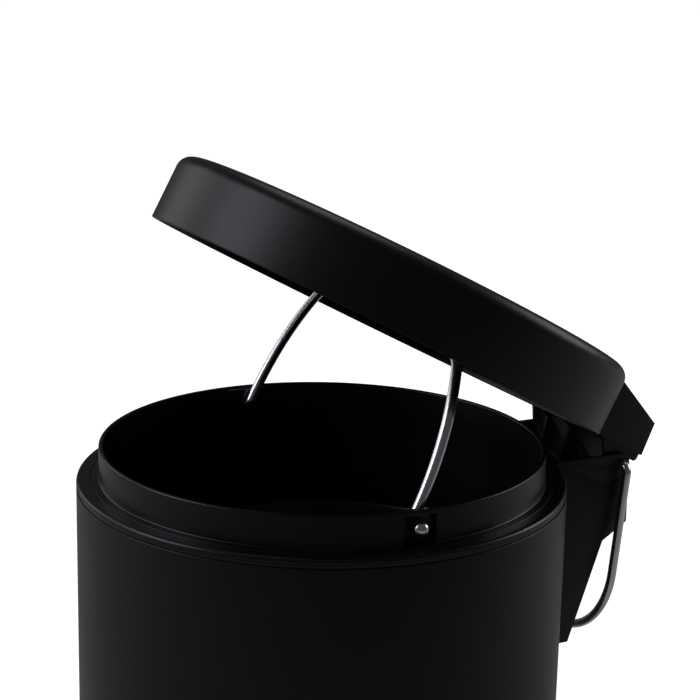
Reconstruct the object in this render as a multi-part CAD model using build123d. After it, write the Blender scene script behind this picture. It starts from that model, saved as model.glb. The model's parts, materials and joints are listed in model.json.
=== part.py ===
from build123d import *
import math
import os

# Pedal bin of about three litres: steel shell, lift-out bucket, sprung-free lid worked by a pedal.
# Millimetres. Z is up, the floor is Z = 0, the Z axis is the shell's axis.
# The pedal is at the front (-Y) and the lid's hinge is at the back (+Y).
# The lid is stored part open and the bucket's bail is stored raised.

# --- overall sizes -------------------------------------------------------------------------------
shell_radius = 84.0
shell_wall = 0.8
ledge_height = 230.0          # top of the ring that the closed lid comes down on
fit_gap = 0.3                 # gap kept between bodies that move past each other
pin_gap = 0.06                # radial gap of a pin or axle in its hole
seat_gap = 0.1                # gap of a part that is pushed into another
past = 20.0                   # cutting tools run at least this far past what they cut

# --- base ----------------------------------------------------------------------------------------
foot_height = 1.5
foot_inset = 2.4              # foot ring inside the base ring's edge
foot_width = 6.0
screw_count = 4
base_lip = 1.2                # how far the base ring stands out past the shell
base_lip_top = 9.0
base_lip_edge = 0.6           # bevel round the top of the lip
base_lip_bevel = 1.0
shell_bottom = 6.0
base_wall = 2.3
base_wall_top = 20.0
base_flange_width = 7.0
base_flange_thickness = 1.2
plate_thickness = 1.2
screw_head_radius = 2.6
screw_head_height = 1.5
screw_radius = 1.4
screw_start_turn = 45.0
screw_slot_length = 2.6
screw_slot_width = 0.7
screw_slot_depth = 0.7
screw_tip = 0.5               # screw end beyond the plate

# --- top ring ------------------------------------------------------------------------------------
ring_lip = 3.2                # height of the ring above the shell's edge
ring_skirt = 8.0
ring_wall = 1.5
ring_shelf = 1.5              # thickness of the ring under the bucket's flange
ring_edge_radius = 1.4
ring_cove = 0.5               # hollow under the ring's shoulder, its depth
ring_cove_height = 1.3
ring_cove_slope = 0.3
ledge_width = 7.6             # from the shell's face in to the bucket's collar

# --- bucket --------------------------------------------------------------------------------------
collar_rise = 11.3            # bucket rim above the ledge
bucket_wall = 1.5
bucket_floor = 37.0
bucket_taper = 10.4           # collar radius less floor radius
bucket_floor_bevel = 4.0
bucket_undercut = 0.4         # wall below the flange stands in by this much
bucket_wall_taper = 0.8
bucket_step_drop = 47.0       # from the rim down to the step in the wall
bucket_step = 0.7
bucket_step_slope = 1.0
bucket_flange_width = 2.8
bucket_flange_thickness = 1.6
bucket_turn = -3.8            # the bucket stands turned in the shell by this many degrees
pocket_width = 11.0
pocket_depth = 3.0
pocket_wall = 1.3
pocket_lip = 1.5              # rim left above the pocket
pocket_drop = 17.0            # pocket below the ledge
pivot_drop = 6.0              # bail pivots below the rim

# --- bail ----------------------------------------------------------------------------------------
bail_wire = 1.8               # wire radius
bail_ball = 2.6
bail_inset = 5.0              # bail's widest centre line inside the bucket's wall
bail_bend = 2.1
bail_side_radius = 84.4
bail_side_turn = 32.9
bail_corner_radius = 13.0
bail_raised = 64.2            # stored tilt of the bail, from lying to the back

# --- hinge ---------------------------------------------------------------------------------------
hinge_back = 24.0             # hinge pin behind the shell's wall
hinge_drop = 12.7             # hinge pin below the ledge
pin_radius = 2.2
pin_head_radius = 3.0
pin_head = 0.5
pin_head_bevel = 0.25
bush_radius = 4.0
lid_open = 28.4               # stored opening
lid_open_most = 80.0          # widest opening

# --- rear bracket --------------------------------------------------------------------------------
bracket_half = 25.0
bracket_sheet = 1.5
bracket_depth = 27.9          # from the shell's wall to the bracket's back edge
bracket_height = 69.3
bracket_corner = 4.6
bracket_step_height = 26.3    # below the ledge, where the back edge turns in
bracket_step_depth = 17.9
bracket_step_slope = 6.0      # height over which the back edge turns in
bracket_foot_depth = 4.8
rivet_radius = 1.6
rivet_head_radius = 3.2
rivet_head = 1.3
rivet_tail_radius = 2.56
rivet_tail = 0.9
rivet_lap = 0.3               # rivet pieces run into each other by this much
rivet_turn = 11.0             # rivets to either side of the middle, in degrees
rivet_upper_drop = 18.0
rivet_lower_drop = 60.0

# --- carry handle --------------------------------------------------------------------------------
handle_wire = 1.6
handle_out = 3.4              # handle's centre line beyond the bracket's side
handle_length = 68.6
handle_bend = 3.0
handle_back = 24.6            # handle holes behind the shell's wall
handle_drop = 3.8             # handle holes below the ledge
handle_lean = -5.9           # stored lean towards the shell

# --- lid -----------------------------------------------------------------------------------------
lid_overhang = 0.5            # lid's skirt beyond the shell's wall
lid_wall = 0.9
lid_side = 24.2               # edge of the lid's top above its lower rim
lid_crown = 2.0
lid_edge_radius = 5.0
lid_hem = 1.8                 # thickness of the rolled lower edge
lid_hem_height = 2.4
lid_hem_radius = 0.6
cover_sheet = 1.2
cover_lift = 1.1              # bracket's lower edge above the ledge
cover_back_lean = 0.9
cover_depth = 26.8            # lid bracket: from the shell's wall to its back corner
cover_peak = 13.6             # height of the bracket's back corner above the ledge
cover_top = 23.5              # height where its top meets the lid
cover_top_fall = 1.6
cover_top_run = 4.0
side_lug_sheet = 1.2          # lugs inside the rear bracket's sides
side_lug_front = 16.2         # lug's front edge ahead of the pin
side_lug_back = 3.0           # lug's back edge behind the pin
side_lug_drop = 2.0           # lug's back corner below the ledge
side_lug_corner = 1.5
lid_rivet_rise = 8.5          # rivets above the ledge
lug_half = 7.75
lug_sheet = 1.5
lug_eye = 4.6
lug_front = 18.6              # front edge of the rod's lugs ahead of the pin
lug_front_rise = 11.7
lug_toe = 16.5                # its lower end ahead of the pin
lug_toe_rise = 3.3
lug_top = 14.0                # top of the lugs above the ledge
lug_slot_wall = 1.6
lug_back = 12.0               # lugs' top edge behind the lid bracket's wall
lug_back_rise = 11.0
lug_window_top = 3.0          # lugs' front wall is open below this height above the ledge

# --- push rod and pedal --------------------------------------------------------------------------
rod_wire = 2.0
rod_top_back = 12.0           # rod's upper run behind the shell's wall
rod_inset = 6.5               # rod's lower run inside the shell's outer face
rod_rate = 13.7               # rod travel for each radian that the lid opens
rod_hook = 9.6
rod_bend = 4.0
rod_jog_rise = 17.0           # rod's bend above the rear bracket's foot
clip_radius = 3.6
clip_thickness = 1.4
slot_play = 0.65              # half the spare height of the lid lever's slot
window_half = 4.0
window_depth = 3.0            # tool depth to each side of the wall
window_gap = 3.0              # window's spare height at each end of the rod's travel
axle_height = 19.0
axle_front = 10.0             # axle in front of the shell's axis
axle_radius = 2.5
axle_half = 14.2
clip_groove = 0.5
axle_clip_width = 0.8
axle_clip_rim = 2.0
axle_clip_mouth = 1.6         # half width of the clip's mouth
axle_bevel = 0.4
lever_half = 7.75
lever_sheet = 1.5
lever_flange = 8.0
lever_slot_gap = 1.4
lever_slot_inside = 6.0       # front wall's slot is sized for the lever this far in
lever_tail = 0.6              # lever end beyond its rounded eye
lever_play = 0.8              # length of the lever's slot for the rod's hook
ear_half = 12.0
ear_sheet = 1.5
ear_width = 16.0
ear_base_length = 34.0
ear_base_corner = 4.0
ear_rivet_reach = 11.0        # bracket rivets in front of and behind the axle
pedal_reach = 38.5            # pedal plate's front edge beyond the shell
pedal_length = 30.0
pedal_half = 20.0
pad_wall = 1.8
pad_corner = 6.0
pad_rib = 0.7
pad_edge = 1.2
pad_back = 5.0                # plate left bare behind the pad
pad_rib_count = 5
pad_rib_width = 1.6
pad_rib_start = 3.5
pad_rib_step = 4.2
pad_rib_end = 4.0             # rib's end inside the plate's side
lever_lap = 4.0               # lever channel under the plate

# --- worked out from the sizes above -------------------------------------------------------------
collar_radius = shell_radius - ledge_width
bucket_floor_radius = collar_radius - bucket_taper
lid_radius = shell_radius + lid_overhang
handle_half = bracket_half + handle_out
rim_height = ledge_height + collar_rise
pivot_height = rim_height - pivot_drop
hinge_y = shell_radius + hinge_back
hinge_z = ledge_height - hinge_drop
handle_y = shell_radius + handle_back
handle_z = ledge_height - handle_drop
rod_top_y = shell_radius + rod_top_back
rod_low_y = shell_radius - rod_inset
lid_middle = lid_open_most / 2
rod_travel = rod_rate * math.radians(lid_open_most)
rod_place = rod_rate * math.radians(lid_open - lid_middle)
lever_arm = rod_low_y + axle_front
lever_angle = math.degrees(math.asin(rod_place / lever_arm))
shell_inside = shell_radius - shell_wall
collar_inside = collar_radius - bucket_wall
bail_half_span = collar_inside - bail_inset
bracket_inside = bracket_half - bracket_sheet
plate_bottom = foot_height + base_flange_thickness
plate_top = plate_bottom + plate_thickness
skirt_radius = shell_inside - seat_gap
base_inside = skirt_radius - base_wall


def turned(points):
    """Solid of revolution about Z from an outline in radius and height."""
    return revolve(Plane.XZ * make_face(Polyline(*points, close=True)), Axis.Z)


def tube(outer, inner, low, high):
    ring = Circle(outer) - Circle(inner)
    return Pos(0, 0, low) * extrude(ring, high - low)


def disc(radius, low, high):
    return Pos(0, 0, low) * extrude(Circle(radius), high - low)


def block(x, y, z):
    """Box between pairs of X, Y and Z values."""
    size = Box(x[1] - x[0], y[1] - y[0], z[1] - z[0])
    return Pos((x[0] + x[1]) / 2, (y[0] + y[1]) / 2, (z[0] + z[1]) / 2) * size


def rod_x(radius, start, end, y=0.0, z=0.0):
    """Round bar along X."""
    return Pos(start, y, z) * Rot(0, 90, 0) * extrude(Circle(radius), end - start)


def rod_y(radius, start, end, x=0.0, z=0.0):
    """Round bar along Y."""
    return Pos(x, start, z) * Rot(-90, 0, 0) * extrude(Circle(radius), end - start)


def side_plate(outline, half_width):
    """Solid from an outline in Y and Z, spread over X both ways."""
    face = make_face(Plane.YZ * Polyline(*outline, close=True))
    return extrude(face, half_width, both=True)


def wire_solid(path, radius):
    return sweep(Plane(path @ 0, z_dir=path % 0) * Circle(radius), path=path)


def about_hinge(shape, angle=lid_open):
    """Open a piece of the closed lid about the hinge pin."""
    return Pos(0, hinge_y, hinge_z) * Rot(-angle, 0, 0) * Pos(0, -hinge_y, -hinge_z) * shape


def about_axle(shape, angle=lever_angle):
    """Tilt a piece of the level pedal about its axle."""
    return Pos(0, -axle_front, axle_height) * Rot(angle, 0, 0) * shape


def radial_rivet(face_radius, back_radius, turn, height):
    """Rivet through a round wall, with a domed head outside and a flat head inside."""
    dome_radius = (rivet_head_radius ** 2 + rivet_head ** 2) / (2 * rivet_head)
    dome = Pos(0, face_radius + rivet_head - dome_radius, 0) * Sphere(dome_radius)
    dome = dome & rod_y(rivet_head_radius, face_radius - rivet_head, face_radius + past)
    dome = dome - disc(face_radius, -past, past)
    shank = rod_y(rivet_radius, back_radius - rivet_lap, face_radius + rivet_lap)
    tail = rod_y(rivet_tail_radius, back_radius - rivet_tail, back_radius + rivet_tail)
    tail = tail & disc(back_radius, -past, past)
    return Pos(0, 0, height) * Rot(0, 0, -turn) * (shank + dome + tail)


def radial_hole(radius, turn, height, face_radius):
    return Pos(0, 0, height) * Rot(0, 0, -turn) * rod_y(radius, face_radius - past, face_radius + past)


def bracket_rivet_places():
    for turn in (-rivet_turn, rivet_turn):
        for drop in (rivet_upper_drop, rivet_lower_drop):
            yield turn, ledge_height - drop


def jog_bottom():
    """Height where the stored push rod leaves its lower run."""
    return ledge_height - bracket_height + rod_jog_rise


def rod_hook_height():
    return hinge_z + rod_place


def window_cut():
    """Window in the shell and bracket that the rod's bend travels in."""
    run = rod_top_y - rod_low_y
    low = jog_bottom() - (rod_place + rod_travel / 2) - window_gap
    high = jog_bottom() + run + (rod_travel / 2 - rod_place) + window_gap
    inside = shell_inside - window_depth
    outside = shell_radius + bracket_sheet + window_depth
    return block((-window_half, window_half), (inside, outside), (low, high))


def pedal_slot(depth_in, depth_out):
    """Slot in the front wall that the pedal lever swings in."""
    reach = shell_radius - axle_front + lever_slot_inside
    swing = reach * (rod_travel / 2) / lever_arm
    half = lever_half + lever_slot_gap
    low = axle_height - lever_flange / 2 - swing - lever_slot_gap
    high = axle_height + lever_flange / 2 + swing + lever_slot_gap
    return block((-half, half), (-shell_radius - depth_out, -shell_radius + depth_in), (low, high))


def outer_shell():
    body = tube(shell_radius, shell_inside, shell_bottom, ledge_height - ring_lip)
    body -= window_cut()
    body -= pedal_slot(past, past)
    for turn, height in bracket_rivet_places():
        body -= radial_hole(rivet_radius, turn, height, shell_radius)
    return body


def top_ring():
    seat = ledge_height - bucket_flange_thickness
    lip_bottom = ledge_height - ring_lip
    cove_radius = shell_radius - ring_cove
    hole = collar_radius + bucket_flange_width / 3
    rebate = collar_radius + bucket_flange_width + seat_gap
    outline = [
        (hole, seat - ring_shelf),
        (skirt_radius - ring_wall, seat - ring_shelf),
        (skirt_radius - ring_wall, lip_bottom - ring_skirt),
        (skirt_radius, lip_bottom - ring_skirt),
        (skirt_radius, lip_bottom),
        (cove_radius, lip_bottom),
        (cove_radius, lip_bottom + ring_cove_height),
        (shell_radius, lip_bottom + ring_cove_height + ring_cove_slope),
        (shell_radius, ledge_height),
        (rebate, ledge_height),
        (rebate, seat),
        (hole, seat),
    ]
    ring = turned(outline)
    shoulder = ring.edges().filter_by(GeomType.CIRCLE)
    shoulder = shoulder.filter_by(lambda e: abs(e.radius - shell_radius) < 0.01).sort_by(Axis.Z)[-1]
    return fillet(shoulder, ring_edge_radius)


def pocket_boxes(outside, bottom, top):
    """The same box at both bail pivots, before the bucket is turned."""
    half = pocket_width / 2
    near = block((outside[0], outside[1]), (-half, half), (bottom, top))
    return near + mirror(near, Plane.YZ)


def inner_bucket():
    ledge = ledge_height
    seat = ledge - bucket_flange_thickness
    step_z = rim_height - bucket_step_drop
    under = collar_radius - bucket_undercut
    low_outer = under - bucket_wall_taper
    bevel = bucket_floor_bevel
    outline = [
        (0, bucket_floor),
        (bucket_floor_radius - bevel, bucket_floor),
        (bucket_floor_radius, bucket_floor + bevel),
        (low_outer - bucket_step, step_z - bucket_step_slope),
        (low_outer, step_z),
        (under, seat),
        (collar_radius + bucket_flange_width, seat),
        (collar_radius + bucket_flange_width, ledge),
        (collar_radius, ledge),
        (collar_radius, rim_height - bucket_wall / 2),
        (collar_radius - bucket_wall / 2, rim_height),
        (collar_inside, rim_height - bucket_wall / 2),
        (collar_inside, ledge),
        (low_outer - bucket_wall, step_z),
        (low_outer - bucket_step - bucket_wall, step_z - bucket_step_slope),
        (bucket_floor_radius - bucket_wall, bucket_floor + bevel + bucket_wall / 2),
        (bucket_floor_radius - bevel - bucket_wall / 2, bucket_floor + bucket_wall),
        (0, bucket_floor + bucket_wall),
    ]
    bucket = turned(outline)
    floor_x = collar_radius - pocket_depth
    wall_x = floor_x - pocket_wall
    half = pocket_width / 2 + bucket_wall
    top = rim_height - pocket_lip
    bottom = ledge - pocket_drop
    boss = block((wall_x, under - bucket_wall / 2), (-half, half), (bottom, top + bucket_wall / 2))
    bucket += boss + mirror(boss, Plane.YZ)
    reach = collar_radius + past
    bucket -= pocket_boxes((floor_x, reach), ledge, top)
    bucket -= pocket_boxes((floor_x, reach), bottom + bucket_wall, seat)
    bucket -= rod_x(bail_wire + pin_gap, -reach, reach, 0, pivot_height)
    return Rot(0, 0, bucket_turn) * bucket


def bail_path():
    """Centre line of the bail in its own plane, from one pivot round to the other."""
    ball_x = collar_radius - pocket_depth + bail_ball + fit_gap
    corner_turn = 90 - bail_side_turn
    stub = Line((ball_x, 0), (bail_half_span + bail_bend, 0))
    bend = JernArc(stub @ 1, stub % 1, bail_bend, -90)
    side = JernArc(bend @ 1, bend % 1, bail_side_radius, bail_side_turn)
    corner = JernArc(side @ 1, side % 1, bail_corner_radius, corner_turn)
    end = corner @ 1
    top = Line((end.X, end.Y), (-end.X, end.Y))
    corner_2 = JernArc(top @ 1, top % 1, bail_corner_radius, corner_turn)
    side_2 = JernArc(corner_2 @ 1, corner_2 % 1, bail_side_radius, bail_side_turn)
    bend_2 = JernArc(side_2 @ 1, side_2 % 1, bail_bend, -90)
    stub_2 = Line((-bail_half_span - bail_bend, 0), (-ball_x, 0))
    return Wire([stub, bend, side, corner, top, corner_2, side_2, bend_2, stub_2]), ball_x


def bucket_bail():
    path, ball_x = bail_path()
    bail = wire_solid(path, bail_wire)
    bail += Pos(ball_x, 0, 0) * Sphere(bail_ball)
    bail += Pos(-ball_x, 0, 0) * Sphere(bail_ball)
    return Pos(0, 0, pivot_height) * Rot(0, 0, bucket_turn) * Rot(bail_raised, 0, 0) * bail


def base_ring():
    outer = shell_radius + base_lip
    inner = base_inside - base_flange_width
    seat = shell_radius + seat_gap
    outline = [
        (inner, foot_height),
        (outer, foot_height),
        (outer, base_lip_top - base_lip_bevel),
        (outer - base_lip_edge, base_lip_top),
        (seat, base_lip_top),
        (seat, shell_bottom),
        (skirt_radius, shell_bottom),
        (skirt_radius, base_wall_top),
        (base_inside, base_wall_top),
        (base_inside, plate_bottom),
        (inner, plate_bottom),
    ]
    notch_half = rod_hook + rod_bend
    notch_back = skirt_radius
    notch = block((-notch_half, notch_half), (rod_low_y, notch_back), (plate_top, plate_top + past))
    return turned(outline) - pedal_slot(past, past) - notch - screw_bars(screw_radius, 0, past)


def screw_places():
    radius = base_inside - base_flange_width / 2
    for index in range(screw_count):
        turn = math.radians(screw_start_turn + index * 360 / screw_count)
        yield radius * math.cos(turn), radius * math.sin(turn)


def screw_bars(radius, low, high):
    bars = [Pos(x, y, 0) * disc(radius, low, high) for x, y in screw_places()]
    return Part() + bars


def base_plate():
    plate = disc(base_inside - seat_gap, plate_bottom, plate_top)
    plate -= screw_bars(screw_radius, 0, past)
    for y in pedal_rivet_places():
        plate -= Pos(0, y, 0) * disc(rivet_radius, 0, past)
    return plate


def base_screws():
    shanks = screw_bars(screw_radius, foot_height + seat_gap, plate_top + screw_tip)
    heads = screw_bars(screw_head_radius, plate_top, plate_top + screw_head_height)
    heads = fillet(heads.edges().group_by(Axis.Z)[-1], screw_head_height / 2)
    slot = Box(screw_slot_length, screw_slot_width, 2 * screw_slot_depth)
    cross = slot + Rot(0, 0, 90) * slot
    crosses = [Pos(x, y, plate_top + screw_head_height) * cross for x, y in screw_places()]
    return (shanks + heads) - (Part() + crosses)


def foot_ring():
    outer = shell_radius + base_lip - foot_inset
    ring = tube(outer, outer - foot_width, 0, foot_height)
    return fillet(ring.edges().group_by(Axis.Z)[0], foot_height / 3)


def pedal_rivet_places():
    return (-axle_front - ear_rivet_reach, -axle_front + ear_rivet_reach)


def pedal_bracket():
    base_top = plate_top + ear_sheet
    half_length = ear_base_length / 2
    base = block((-ear_half, ear_half), (-half_length, half_length), (plate_top, base_top))
    base = fillet(base.edges().filter_by(Axis.Z), ear_base_corner)
    eye_z = axle_height
    inner = ear_half - ear_sheet
    ear_face = Plane.YZ * Pos(0, (plate_top + eye_z) / 2) * Rectangle(ear_width, eye_z - plate_top)
    ear_face += Plane.YZ * Pos(0, eye_z) * Circle(ear_width / 2)
    ears = extrude(ear_face, ear_half, both=True)
    ears -= block((-inner, inner), (-half_length, half_length), (base_top, eye_z + ear_width))
    bracket = Pos(0, -axle_front, 0) * (base + ears)
    bracket -= rod_x(axle_radius + pin_gap, -past, past, -axle_front, eye_z)
    for y in pedal_rivet_places():
        bracket -= Pos(0, y, 0) * disc(rivet_radius, 0, past)
    return bracket


def pedal_bracket_rivets():
    head_z = plate_top + ear_sheet
    rivets = []
    for y in pedal_rivet_places():
        shank = disc(rivet_radius, plate_bottom - rivet_lap, head_z + rivet_lap)
        tail = disc(rivet_tail_radius, plate_bottom - rivet_tail, plate_bottom)
        head = disc(rivet_head_radius, head_z, head_z + rivet_head)
        head = fillet(head.edges().group_by(Axis.Z)[-1], rivet_head / 2)
        rivets.append(Pos(0, y, 0) * (shank + tail + head))
    return Part() + rivets


def pedal_axle():
    axle = rod_x(axle_radius, -axle_half, axle_half)
    groove = ear_half + fit_gap
    ring = rod_x(axle_radius + axle_clip_rim, groove, groove + axle_clip_width)
    ring -= rod_x(axle_radius - clip_groove, groove - past, groove + past)
    axle -= ring + mirror(ring, Plane.YZ)
    axle = chamfer(axle.edges().group_by(Axis.X)[0] + axle.edges().group_by(Axis.X)[-1], axle_bevel)
    return Pos(0, -axle_front, axle_height) * axle


def axle_clips():
    groove = ear_half + fit_gap
    clip = rod_x(axle_radius + axle_clip_rim, groove, groove + axle_clip_width)
    clip -= rod_x(axle_radius - clip_groove, groove - past, groove + past)
    clip -= block((groove - 1, groove + 1), (-axle_clip_mouth, axle_clip_mouth), (-past, 0))
    clips = clip + mirror(clip, Plane.YZ)
    return Pos(0, -axle_front, axle_height) * clips


def pedal_bushes():
    start = lever_half + fit_gap
    end = ear_half - ear_sheet - seat_gap
    bush = rod_x(axle_radius + axle_clip_rim, start, end)
    bush -= rod_x(axle_radius + pin_gap, -past, past)
    return Pos(0, -axle_front, axle_height) * (bush + mirror(bush, Plane.YZ))


def lever_blank():
    """Channel of the pedal lever when it is level, with the axle at the origin."""
    half_flange = lever_flange / 2
    front = -(shell_radius - axle_front + pedal_reach - pedal_length + lever_lap)
    rear = lever_arm + half_flange + lever_tail
    channel = block((-lever_half, lever_half), (front, rear), (-half_flange, half_flange))
    inner = lever_half - lever_sheet
    top = half_flange - lever_sheet
    channel -= block((-inner, inner), (front - past, rear + past), (-past, top))
    channel -= block((-inner, inner), (lever_arm - lever_flange, rear + past), (0, past))
    ends = channel.edges().filter_by(Axis.X).group_by(Axis.Y)[-1]
    return fillet(ends, half_flange - seat_gap)


def pedal_plate():
    """Flat front end of the pedal lever, level, with the axle at the origin."""
    half_flange = lever_flange / 2
    front = -(shell_radius - axle_front + pedal_reach)
    plate = block(
        (-pedal_half, pedal_half),
        (front, front + pedal_length),
        (half_flange - lever_sheet, half_flange),
    )
    return fillet(plate.edges().filter_by(Axis.Z), pad_corner - pad_wall)


def pedal_lever():
    lever = lever_blank() + pedal_plate()
    lever -= rod_x(axle_radius + pin_gap, -past, past)
    hole = rod_wire + fit_gap
    for y in (lever_arm, lever_arm + lever_play):
        lever -= rod_x(hole, -past, past, y)
    lever -= block((-past, past), (lever_arm, lever_arm + lever_play), (-hole, hole))
    return about_axle(lever)


def pedal_pad():
    half_flange = lever_flange / 2
    front = -(shell_radius - axle_front + pedal_reach)
    low = half_flange - lever_sheet - pad_wall
    high = half_flange + pad_wall
    pad = block(
        (-pedal_half - pad_wall, pedal_half + pad_wall),
        (front - pad_wall, front + pedal_length - pad_back),
        (low, high),
    )
    pad = fillet(pad.edges().filter_by(Axis.Z), pad_corner)
    pad = fillet(pad.edges().group_by(Axis.Z)[-1], pad_edge)
    rib = Box(2 * (pedal_half - pad_rib_end), pad_rib_width, 2 * pad_rib)
    for index in range(pad_rib_count):
        pad += Pos(0, front + pad_rib_start + index * pad_rib_step, high) * rib
    return about_axle(pad - pedal_plate() - lever_blank())


def push_rod():
    low_z = axle_height + rod_place
    start = (rod_hook, rod_low_y, low_z)
    points = [
        start,
        (0, rod_low_y, low_z),
        (0, rod_low_y, jog_bottom()),
        (0, rod_top_y, jog_bottom() + rod_top_y - rod_low_y),
        (0, rod_top_y, rod_hook_height()),
        (rod_hook, rod_top_y, rod_hook_height()),
    ]
    path = FilletPolyline(*points, radius=rod_bend)
    return wire_solid(path, rod_wire)


def rod_clips():
    start = lug_half + fit_gap
    clips = []
    for y, z in ((rod_low_y, axle_height + rod_place), (rod_top_y, rod_hook_height())):
        clip = rod_x(clip_radius, start, start + clip_thickness, y, z)
        clips.append(clip - rod_x(rod_wire, -past, past, y, z))
    return Part() + clips


def rear_bracket():
    shell_in = shell_radius - past
    back = shell_radius + bracket_depth
    foot = ledge_height - bracket_height
    outline = [
        (shell_in, ledge_height),
        (back, ledge_height),
        (back, ledge_height - bracket_step_height),
        (shell_radius + bracket_step_depth, ledge_height - bracket_step_height - bracket_step_slope),
        (shell_radius + bracket_foot_depth, foot),
        (shell_in, foot),
    ]
    bracket = side_plate(outline, bracket_half)
    corner = bracket.edges().filter_by(Axis.X).group_by(Axis.Y)[-1].sort_by(Axis.Z)[-1]
    bracket = fillet(corner, bracket_corner)
    bracket -= disc(shell_radius, foot - past, ledge_height + past)
    hollow = block(
        (-bracket_inside, bracket_inside),
        (shell_in, back + past),
        (foot - past, ledge_height + past),
    )
    hollow -= disc(shell_radius + bracket_sheet, foot - 2 * past, ledge_height + 2 * past)
    bracket -= hollow
    bracket -= window_cut()
    reach = bracket_half + past
    bracket -= rod_x(pin_radius, -reach, reach, hinge_y, hinge_z)
    bracket -= rod_x(handle_wire + pin_gap, -reach, reach, handle_y, handle_z)
    for turn, height in bracket_rivet_places():
        bracket -= radial_hole(rivet_radius, turn, height, shell_radius)
    return bracket


def bracket_rivets():
    face = shell_radius + bracket_sheet
    return Part() + [radial_rivet(face, shell_inside, turn, z) for turn, z in bracket_rivet_places()]


def hinge_pin():
    pin = rod_x(pin_radius, -bracket_half - pin_head, bracket_half + pin_head)
    head = rod_x(pin_head_radius, bracket_half, bracket_half + pin_head)
    head = fillet(head.edges().group_by(Axis.X)[-1], pin_head_bevel)
    return Pos(0, hinge_y, hinge_z) * (pin + head)


def hinge_pin_nut():
    cap = rod_x(pin_head_radius, -bracket_half - pin_head, -bracket_half)
    cap = chamfer(cap.edges().group_by(Axis.X)[0], pin_head_bevel)
    cap -= rod_x(pin_radius, -bracket_half - past, 0)
    return Pos(0, hinge_y, hinge_z) * cap


def hinge_bushes():
    start = lug_half + fit_gap
    end = bracket_inside - 2 * fit_gap - side_lug_sheet
    bush = rod_x(bush_radius, start, end) - rod_x(pin_radius, start - past, end + past)
    return Pos(0, hinge_y, hinge_z) * (bush + mirror(bush, Plane.YZ))


def carry_path():
    """Centre line of the carry handle, hanging, with its pivot line at the origin."""
    straight = handle_length - handle_half
    hook = Line((bracket_inside, 0), (handle_half - handle_bend, 0))
    bend = JernArc(hook @ 1, hook % 1, handle_bend, -90)
    leg = Line(bend @ 1, (handle_half, -straight))
    bow = JernArc(leg @ 1, leg % 1, handle_half, -180)
    leg_2 = Line(bow @ 1, (-handle_half, -handle_bend))
    bend_2 = JernArc(leg_2 @ 1, leg_2 % 1, handle_bend, -90)
    hook_2 = Line(bend_2 @ 1, (-bracket_inside, 0))
    return Wire([hook, bend, leg, bow, leg_2, bend_2, hook_2])


def carry_handle():
    flat = wire_solid(carry_path(), handle_wire)
    return Pos(0, handle_y, handle_z) * Rot(handle_lean, 0, 0) * Rot(90, 0, 0) * flat


def crown_arc(flat, height, reverse=False):
    """Arc of the lid's crown, centred on the axis, from the rounded edge up to the middle."""
    radius = (flat ** 2 + lid_crown ** 2) / (2 * lid_crown)
    half_turn = math.asin(flat / radius) / 2
    middle_drop = radius - radius * math.cos(half_turn)
    points = [
        (flat, height),
        (radius * math.sin(half_turn), height + lid_crown - middle_drop),
        (0, height + lid_crown),
    ]
    if reverse:
        points.reverse()
    return ThreePointArc(*points)


def lid_section():
    """Half section of the closed lid: skirt, rounded edge, crowned top and rolled hem."""
    side = ledge_height + fit_gap
    top = side + lid_side
    inner_radius = lid_radius - lid_wall
    inner_edge = lid_edge_radius - lid_wall
    flat = lid_radius - lid_edge_radius
    hem_inner = lid_radius - lid_hem
    wall = Line((lid_radius, side + lid_hem_radius + seat_gap), (lid_radius, top - lid_edge_radius))
    turn = JernArc(wall @ 1, wall % 1, lid_edge_radius, 90)
    crown = crown_arc(flat, top)
    axis = Line(crown @ 1, (0, top + lid_crown - lid_wall))
    under = crown_arc(flat, top - lid_wall, reverse=True)
    inner_turn = JernArc(under @ 1, (1, 0), inner_edge, -90)
    inner_wall = Line(inner_turn @ 1, (inner_radius, side + lid_hem_height))
    hem = FilletPolyline(
        inner_wall @ 1,
        (hem_inner, side + lid_hem_height),
        (hem_inner, side),
        (lid_radius, side),
        wall @ 0,
        radius=lid_hem_radius,
    )
    edges = [wall, turn, crown, axis, under, inner_turn, inner_wall, *hem.edges()]
    return make_face(Plane.XZ * Wire(edges))


def lid_rivet_places():
    """Turn from the back and height above the ledge of the rivets in the closed lid."""
    return ((-rivet_turn, lid_rivet_rise), (0.0, lid_rivet_rise), (rivet_turn, lid_rivet_rise))


def lid_shell():
    shell = revolve(lid_section(), Axis.Z)
    for turn, height in lid_rivet_places():
        shell -= radial_hole(rivet_radius, turn, ledge_height + height, lid_radius)
    return about_hinge(shell)


def side_lugs():
    """Lugs of the closed lid bracket, which turn on the hinge pin inside the rear bracket."""
    outer = bracket_inside - fit_gap
    front = hinge_y - side_lug_front
    back = hinge_y + side_lug_back
    corner_z = ledge_height - side_lug_drop
    top = ledge_height + cover_lift + cover_sheet
    outline = [
        (front, top),
        (back, top),
        (back, corner_z),
        (hinge_y, corner_z),
        (hinge_y + lug_eye, hinge_z),
        (hinge_y, hinge_z - lug_eye),
        (hinge_y - lug_eye, hinge_z - lug_eye / 2),
    ]
    lug = side_plate(outline, outer) + rod_x(lug_eye, -outer, outer, hinge_y, hinge_z)
    corner = lug.edges().filter_by(Axis.X).filter_by(
        lambda e: abs(e.center().Y - back) < 0.01 and abs(e.center().Z - corner_z) < 0.01
    )
    lug = fillet(corner, side_lug_corner)
    inner = outer - side_lug_sheet
    lug -= block((-inner, inner), (front - past, back + past), (hinge_z - past, top + past))
    return lug - rod_x(pin_radius + pin_gap, -outer - 1, outer + 1, hinge_y, hinge_z)


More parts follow.
